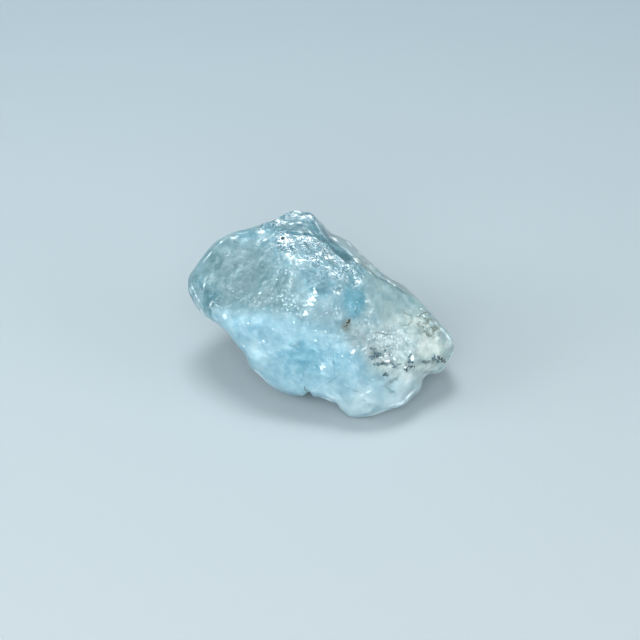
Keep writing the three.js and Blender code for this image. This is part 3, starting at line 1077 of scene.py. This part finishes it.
# %% [markdown]
# Black grains are schorl, the black tourmaline that often grows with aquamarine. They lie at the surface, so
# nothing softens their black. They are a little larger, so each is a ball of more squares.

# %% Black grains
BLACK_SPOTS = [(-3.4, 6.3), (11.15, -4.7), (11.45, -4.8), (10.9, -4.6), (11.2, -4.9), (11.5, -5.0)]
index = on_skin(BLACK_SPOTS)
sizes = random_sizes(rng, len(index), (0.10, 0.15), (1.0, 0.6, 0.4), (1.5, 1.0, 0.5))
black_grains = grains("black_grains", index, sizes, 0.0, n=3, jag=0.35, seed=12)
finish_piece(black_grains, mineral("black_schorl_grains", "#0f1517", "#263335", 0.2, 0.5))

# %% [markdown]
# White specks are single bruises and crumbs of crushed beryl. A pattern in the material gives the finest
# ones. The ones that catch the eye stand out a little, so they are grains, with crumbs scattered round a
# few places by a bell curve.

# %% White specks
WHITE_SPOTS = [
    *[(-7.2, -0.3), (-7.2, -1.5), (-6.4, -1.4), (-8.4, -2.2), (-6.9, -3.5), (-2.9, -0.2), (-2.3, -1.3)],
    *[(-0.4, -2.1), (-0.4, -2.9), (-1.9, -3.9), (2.0, -4.3), (4.8, -6.4), (7.5, -6.3), (7.2, -6.4)],
    *[(4.3, -7.6), (-7.8, 1.5), (-5.4, 1.3), (-3.5, 1.0), (-8.5, 4.8), (4.05, 0.6), (9.2, -0.1), (0.5, -2.1)],
]
CRUMBS = [
    ((5.8, -2.7), (1.1, 0.6), 34),
    ((7.0, -3.3), (0.9, 0.6), 24),
    ((-1.3, 4.2), (1.2, 0.5), 16),
    ((-3.0, 2.8), (0.7, 0.4), 12),
]
SPOT_GROWTH = 1.4


def scattered(rng, clusters):
    """Places round each cluster's middle, by a bell curve of its (across, up) spread."""
    return np.concatenate([rng.normal(middle, spread, (count, 2)) for middle, spread, count in clusters])


crumbs = scattered(rng, CRUMBS)
index = np.concatenate([on_skin(WHITE_SPOTS), on_skin(crumbs), rng.choice(behind, SPECKS_BEHIND)])
sizes = random_sizes(rng, len(index), (0.03, 0.08), (0.8, 0.6, 0.3), (1.7, 1.1, 0.5))
sizes[: len(WHITE_SPOTS)] *= SPOT_GROWTH
white_specks = grains("white_specks", index, sizes, 0.0, n=3, jag=0.3, seed=7)
finish_piece(white_specks, mineral("bruised_white_points", "#b9d5de", "#d9ebf0", 0.2, 0.5))

# %% [markdown]
# Low on the right, flakes of dark mica lie in the stone in level rows, with pale flakes of cleaved beryl
# between them. Giving every flake a place would be long, and pure chance would lose the rows. So each row
# or clump has a middle, a spread and a count, and only the darker cores have places of their own.

# %% Where the flakes lie
DARK_CLUSTERS = [
    ((5.1, -4.3), (0.26, 0.12), 11),
    ((4.9, -3.7), (0.18, 0.10), 5),
    ((5.9, -4.0), (0.15, 0.15), 3),
    ((5.6, -5.05), (0.32, 0.05), 8),
    ((8.05, -4.88), (0.14, 0.03), 6),
    ((7.9, -5.35), (0.26, 0.12), 9),
    ((6.7, -5.2), (0.20, 0.12), 5),
    ((10.7, -4.65), (0.28, 0.18), 16),
    ((5.85, -6.0), (0.10, 0.05), 4),
    ((9.6, -4.9), (0.25, 0.05), 6),
]
PALE_CLUSTERS = [
    ((5.3, -4.4), (0.30, 0.10), 5),
    ((5.9, -4.8), (0.20, 0.06), 6),
    ((6.7, -4.6), (0.12, 0.14), 5),
    ((7.6, -5.3), (0.20, 0.12), 7),
    ((10.8, -4.4), (0.40, 0.20), 5),
]
CORES = [(4.95, -4.1), (5.15, -4.35), (4.75, -4.35), (8.1, -4.9), (8.2, -5.3), (5.5, -5.05)]
CORES += [(7.8, -5.5), (5.85, -5.95)]
print(len(DARK_CLUSTERS), "dark and", len(PALE_CLUSTERS), "pale clumps,", len(CORES), "cores")

# %% [markdown]
# Mica splits to thin sheets, so each flake is a flat jagged grain, lying along the stone. Smooth shading
# would round it like a seed. With flat shading its faces catch the light one by one, as sheets do.

# %% Flakes
NEARLY_LEVEL = 0.6


def flakes(name, clusters, low, high, seed):
    """Thin jagged grains, scattered round each cluster's middle, lying roughly level."""
    rng = np.random.default_rng(seed)
    index = on_skin(scattered(rng, clusters))
    sizes = random_sizes(rng, len(index), (0.5, 1.0), low, high)
    return grains(name, index, sizes, 0.01, n=1, jag=0.4, seed=seed, smooth=False, level=NEARLY_LEVEL)


dark_flakes = flakes("dark_flakes", DARK_CLUSTERS, (0.24, 0.08, 0.04), (0.46, 0.20, 0.06), 8)
# Dark mica, also used for the painted shadow in the gap behind the cleavage flake.
dark_mica_and_gap_shade = mineral("dark_mica_and_gap_shadow", "#2f4951", "#6c8b96", 0.4, 0.4)
finish_piece(dark_flakes, dark_mica_and_gap_shade)
index = on_skin(CORES)
sizes = rng.uniform((0.16, 0.09, 0.04), (0.26, 0.13, 0.06), (len(index), 3))
dark_cores = grains("dark_cores", index, sizes, 0.01, jag=0.35, seed=28, smooth=False, level=NEARLY_LEVEL)
finish_piece(dark_cores, mineral("dark_mica_cores", "#24353a", "#4a6068", 0.4, 0.4))
pale_flakes = flakes("pale_flakes", PALE_CLUSTERS, (0.16, 0.05, 0.04), (0.34, 0.12, 0.06), 18)
cleaved_beryl = mineral("pale_cleavage_flakes", "#c6dde3", "#f4fafb", 0.3, 0.3)
finish_piece(pale_flakes, cleaved_beryl)


# %% [markdown]
# One larger flake stands out, white and angular: a chip that has cleaved and lifted. The dark sliver along
# its upper left is painted shadow, a dark plate for the shade in the gap behind it. Its outline is what makes
# the flake, so it is a thin plate cut to a few corners, and not a grain.

# %% One cleavage flake
def plate(name, corners, thick):
    """A flat plate: its corners on the skin, raised and sunk by half its thickness along one normal."""
    index = on_skin(corners)
    up = worn_normals[index].mean(0)
    rise = up / np.linalg.norm(up) * thick / 2
    outline = points[index].mean(0) + (np.array(corners) - np.mean(corners, 0)) @ CARD_AXES.T[:2]
    outline = outline - ((outline - outline.mean(0)) @ rise)[:, None] * rise / (rise @ rise)
    count = len(corners)
    ring = np.arange(count)
    after = (ring + 1) % count
    walls = np.stack([ring, after, after + count, ring + count], 1).tolist()
    ends = [ring[::-1].tolist(), (ring + count).tolist()]
    print(name, "has", count, "corners")
    return make_mesh(name, np.concatenate([outline - rise, outline + rise]), walls + ends, smooth=False)


FLAKE = [(8.05, -4.5), (8.2, -4.8), (8.55, -4.75), (8.5, -4.4), (8.35, -4.2)]
FLAKE_GAP_SHADOW = [(7.75, -4.5), (8.0, -4.5), (8.4, -4.1), (8.25, -4.1)]
finish_piece(plate("cleavage_flake", FLAKE, 0.12), cleaved_beryl)
# A dark plate of painted shadow in the gap behind the flake, in the mica's material.
finish_piece(plate("cleavage_shadow", FLAKE_GAP_SHADOW, 0.10), dark_mica_and_gap_shade)

# %% [markdown]
# Just right of the middle sits a grain of iron oxide, rust brown to black, in a row of five bits that trails
# off down to the left. Rust is dull and earthy, so it is rough and nearly without gloss.

# %% Iron grain
IRON_BITS = {
    (2.55, -1.2): (0.11, 0.15, 0.05),
    (2.45, -1.35): (0.13, 0.08, 0.04),
    (2.65, -1.05): (0.05, 0.10, 0.04),
    (2.3, -1.6): (0.09, 0.06, 0.04),
    (2.2, -1.7): (0.06, 0.05, 0.03),
}
index = on_skin(IRON_BITS)
iron = grains("iron_grain", index, np.array([*IRON_BITS.values()]), 0.01, n=4, seed=9, level=0.3)
finish_piece(iron, mineral("rusty_iron_oxide", "#23251f", "#4b4a3c", 0.15, 0.7))


# %% [markdown]
# Old cracks reach the surface at the right end, filled with grey-green dirt. Painted lines would look flat,
# so each one is a wedge of dirt: a triangle carried along a path that wobbles, level with the skin, and
# thinning to both ends.

# %% One crack
CRACK_STEP = 0.09
WOBBLE, WOBBLE_SIZE = 0.09, 0.35
CRACK_RISE, CRACK_TIP = 0.012, 0.02
NEVER_ZERO = 1e-9


def crack(path, width, depth, seed):
    """Points and faces of a wedge along a path: width mm across the skin, depth mm deep, ends sharp.

    Its width and depth shrink towards both ends by the root of a half sine."""
    corners = np.array(path, float)
    runs = np.concatenate([[0], np.cumsum(np.linalg.norm(np.diff(corners, axis=0), axis=1))])
    along = np.linspace(0, runs[-1], int(runs[-1] / CRACK_STEP) + 2)
    line = np.stack([np.interp(along, runs, column) for column in corners.T], 1)
    shaken = np.pad(line, ((0, 0), (0, 1))) + seed
    line = line + WOBBLE * np.stack([noise(shaken, WOBBLE_SIZE, s) for s in (seed, seed + 1)], 1)
    index = on_skin(line)
    middle, up = points[index], worn_normals[index]
    sideways = np.cross(up, np.gradient(middle, axis=0))
    sideways /= np.linalg.norm(sideways, axis=1, keepdims=True) + NEVER_ZERO
    taper = np.sqrt(np.sin(np.linspace(CRACK_TIP, np.pi - CRACK_TIP, len(middle))))[:, None]
    high, half = middle + up * CRACK_RISE, sideways * width * taper / 2
    rings = np.stack([high + half, high - half, middle - up * depth * taper], 1)
    first = (np.arange(len(middle) - 1) * 3)[:, None, None]
    walls = (first + [[0, 1, 4, 3], [1, 2, 5, 4], [2, 0, 3, 5]]).reshape(-1, 4).tolist()
    last = 3 * (len(middle) - 1)
    return rings.reshape(-1, 3), walls + [[2, 1, 0], [last, last + 1, last + 2]]


print("a crack 1 mm long has", len(crack([(0, 0), (1, 0)], 0.06, 0.25, 0)[0]) // 3, "rings")


# %% [markdown]
# The cracks are listed with their widths in mm and joined as one piece, since one kind of dirt fills them
# all. Joining is counting: each crack's faces start from the number of points before it.

# %% All the cracks
CRACK_DEPTH = 0.25
FIRST_CRACK_SEED = 40
CRACKS = [
    ([(7.4, -0.2), (7.8, -0.55), (8.4, -0.75)], 0.06),
    ([(8.6, -0.8), (9.0, -0.75), (9.3, -0.5), (9.8, -0.35), (10.2, -0.6)], 0.10),
    ([(7.3, -1.65), (7.9, -1.6), (8.3, -1.3), (8.5, -1.2)], 0.06),
    ([(8.6, -1.3), (9.1, -1.7), (9.6, -1.7)], 0.06),
    ([(4.6, -2.25), (5.5, -2.25), (5.9, -2.4), (6.3, -2.35)], 0.08),
    ([(5.3, -3.6), (5.8, -3.5), (6.4, -3.45)], 0.06),
    ([(4.7, -3.5), (5.0, -3.8), (5.1, -4.2)], 0.06),
    ([(6.3, -4.9), (6.7, -5.2), (7.0, -5.5)], 0.06),
    ([(-1.5, -7.1), (-1.3, -7.4), (-1.0, -7.8)], 0.10),
    ([(10.3, -0.8), (10.7, -1.3), (11.1, -1.9)], 0.06),
    ([(9.9, -1.4), (10.3, -1.9), (10.5, -2.3)], 0.08),
    ([(9.6, -2.3), (9.9, -2.6), (10.2, -2.6)], 0.08),
    ([(9.2, -4.9), (9.6, -4.9), (10.2, -5.0)], 0.06),
]
parts = [crack(path, width, CRACK_DEPTH, FIRST_CRACK_SEED + 2 * k) for k, (path, width) in enumerate(CRACKS)]
starts = itertools.accumulate([len(of_crack) for of_crack, _ in parts], initial=0)
faces = [[corner + start for corner in face] for (_, walls), start in zip(parts, starts) for face in walls]
crack_points = np.concatenate([of_crack for of_crack, _ in parts])
cracks = make_mesh("dirt_filled_cracks", crack_points, faces, smooth=False)
finish_piece(cracks, mineral("dirt_in_cracks", "#4d5f61", "#84968f", 0.2, 0.7))
print(len(CRACKS), "cracks with", len(faces), "faces")

# %% [markdown]
# The stone is shown on matt pale card before a pale backdrop. A curved sheet would show its bend from low
# views. A flat card that fades away into a world of its own colour looks seamless from every side. It is a
# touch lighter near the front and bluer at the back.

# %% Floor
FLOOR_REACH = 600
FLOOR_NEAR, FLOOR_FAR = -32, 73
CARD_FADES_FROM, CARD_FADES_TO = 110, 240
floor_points = np.array([[-1, -1, 0], [1, -1, 0], [1, 1, 0], [-1, 1, 0]]) * FLOOR_REACH
floor = make_mesh("floor", floor_points, [[0, 1, 2, 3]])
pale_card, tree = new_material("matt_pale_card")
spot = add(tree, "TexCoord", output="Object")
away = add(tree, "SeparateXYZ", {}, {0: spot}, "Y")
away = add(tree, "MapRange", {}, {"Value": away, "From Min": FLOOR_NEAR * MM, "From Max": FLOOR_FAR * MM})
tone = add(tree, "Mix", COLOURS, {SHARE: away, FIRST: linear("#9ea8ad"), SECOND: linear("#96a7af")}, MIXED)
matt = add(tree, "BsdfPrincipled", {}, {"Base Color": tone, "Roughness": 0.9, "Specular IOR Level": 0.1})
radius = add(tree, "VectorMath", {"operation": "LENGTH"}, {0: spot}, "Value")
inputs = {"Value": radius, "From Min": CARD_FADES_FROM * MM, "From Max": CARD_FADES_TO * MM}
faded = add(tree, "MapRange", {}, inputs)
clear_edge = add(tree, "BsdfTransparent")
card_surface = add(tree, "MixShader", {}, {0: faded, 1: matt, 2: clear_edge})
add(tree, "OutputMaterial", {}, {"Surface": card_surface})
floor.data.materials.append(pale_card)
floor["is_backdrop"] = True
print("card fades out by", CARD_FADES_TO, "mm")

# %% [markdown]
# The light is a soft studio set: wide cards in front and at both sides, and a small one overhead that gives
# the shadow under the stone its edge. Wide cards would also show as dull panes in every chip, so they are
# hidden from gloss, and six small cards, hidden from everything else, give the chips their glints.

# %% Lights
AIMED_AT = (0, 0, 6)
GLINT_CARD, GLINT_POWER = (40, 40), 0.08


def area_light(name, size, power, place, glints=True, glow=True):
    """A soft light, with its (width, height) and place in mm, turned to the stone, for glints or for glow."""
    data = bpy.data.lights.new(name, "AREA")
    data.shape = "RECTANGLE"
    data.size, data.size_y = np.array(size) * MM
    data.energy = power
    made = bpy.data.objects.new(name, data)
    made.location = np.array(place) * MM
    made.rotation_euler = Vector(np.subtract(AIMED_AT, place)).to_track_quat("-Z", "Y").to_euler()
    made.visible_glossy = glints
    made.visible_diffuse = glow
    made.visible_transmission = glow
    bpy.context.scene.collection.objects.link(made)


area_light("overhead", (90, 70), 0.37, (-15, 35, 240), glints=False)
area_light("left_key", (120, 120), 0.32, (-210, -60, 110), glints=False)
area_light("front_fill", (220, 220), 0.64, (-30, -230, 170), glints=False)
area_light("right_fill", (160, 160), 0.26, (220, -90, 90), glints=False)
GLINT_PLACES = [(-140, 40, 180), (10, 30, 240), (120, 90, 180)]
GLINT_PLACES += [(60, -80, 220), (-60, 180, 150), (-60, -60, 240)]
for k, card_place in enumerate(GLINT_PLACES):
    area_light(f"glint_card_{k}", GLINT_CARD, GLINT_POWER, card_place, glow=False)
print(4 + len(GLINT_PLACES), "lights")

# %% [markdown]
# The backdrop is the world itself. One flat colour would meet the card in a visible line, so it is the
# card's own lit colour at the horizon and below, and greyer higher up.

# %% World
SKY_TURNS_GREY = 0.35
world = bpy.data.worlds.new("pale_room")
world.use_nodes = True
tree = world.node_tree
tree.nodes.clear()
ray = add(tree, "TexCoord", output="Generated")
lift = add(tree, "SeparateXYZ", {}, {0: ray}, "Z")
lift = add(tree, "MapRange", {}, {"Value": lift, "From Min": 0.0, "From Max": SKY_TURNS_GREY})
sky = add(tree, "Mix", COLOURS, {SHARE: lift, FIRST: linear("#c6d5db"), SECOND: linear("#a7acae")}, MIXED)
shine = add(tree, "Background", {}, {"Color": sky, "Strength": 1.0})
add(tree, "OutputWorld", {}, {"Surface": shine})
bpy.context.scene.world = world
print("world has", len(tree.nodes), "nodes")

# %% [markdown]
# The camera looks square on to the broad side, from above, through a long lens that doesn't stretch it. Its
# distance comes from how wide the picture is at the stone. It aims just under the middle of the stone, so
# that there is room for the shadow.

# %% Camera
FRAME_WIDTH = 59.2
AIM_BELOW_MIDDLE = 1.1
lens = bpy.data.cameras.new("camera")
lens.lens = 85
lens.clip_start = MM
camera = bpy.data.objects.new("camera", lens)
aim = MIDDLE - UP * AIM_BELOW_MIDDLE
camera.location = (aim + OUT * FRAME_WIDTH * lens.lens / lens.sensor_width) * MM
camera.rotation_euler = (math.pi / 2 - BROAD_SIDE_RISE, 0, 0)
bpy.context.scene.collection.objects.link(camera)
bpy.context.scene.camera = camera
bpy.context.scene.view_settings.view_transform = "Standard"
print("camera is", round(camera.location.length / MM), "mm away")

# %% [markdown]
# The finished stone must stay the size of the CAD model, so both boxes are written down, the CAD box at the
# start and this one here.

# %% Size and finish
low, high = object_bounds()
print("visual box in mm:", ((np.array(high) - np.array(low)) / MM).round(2))
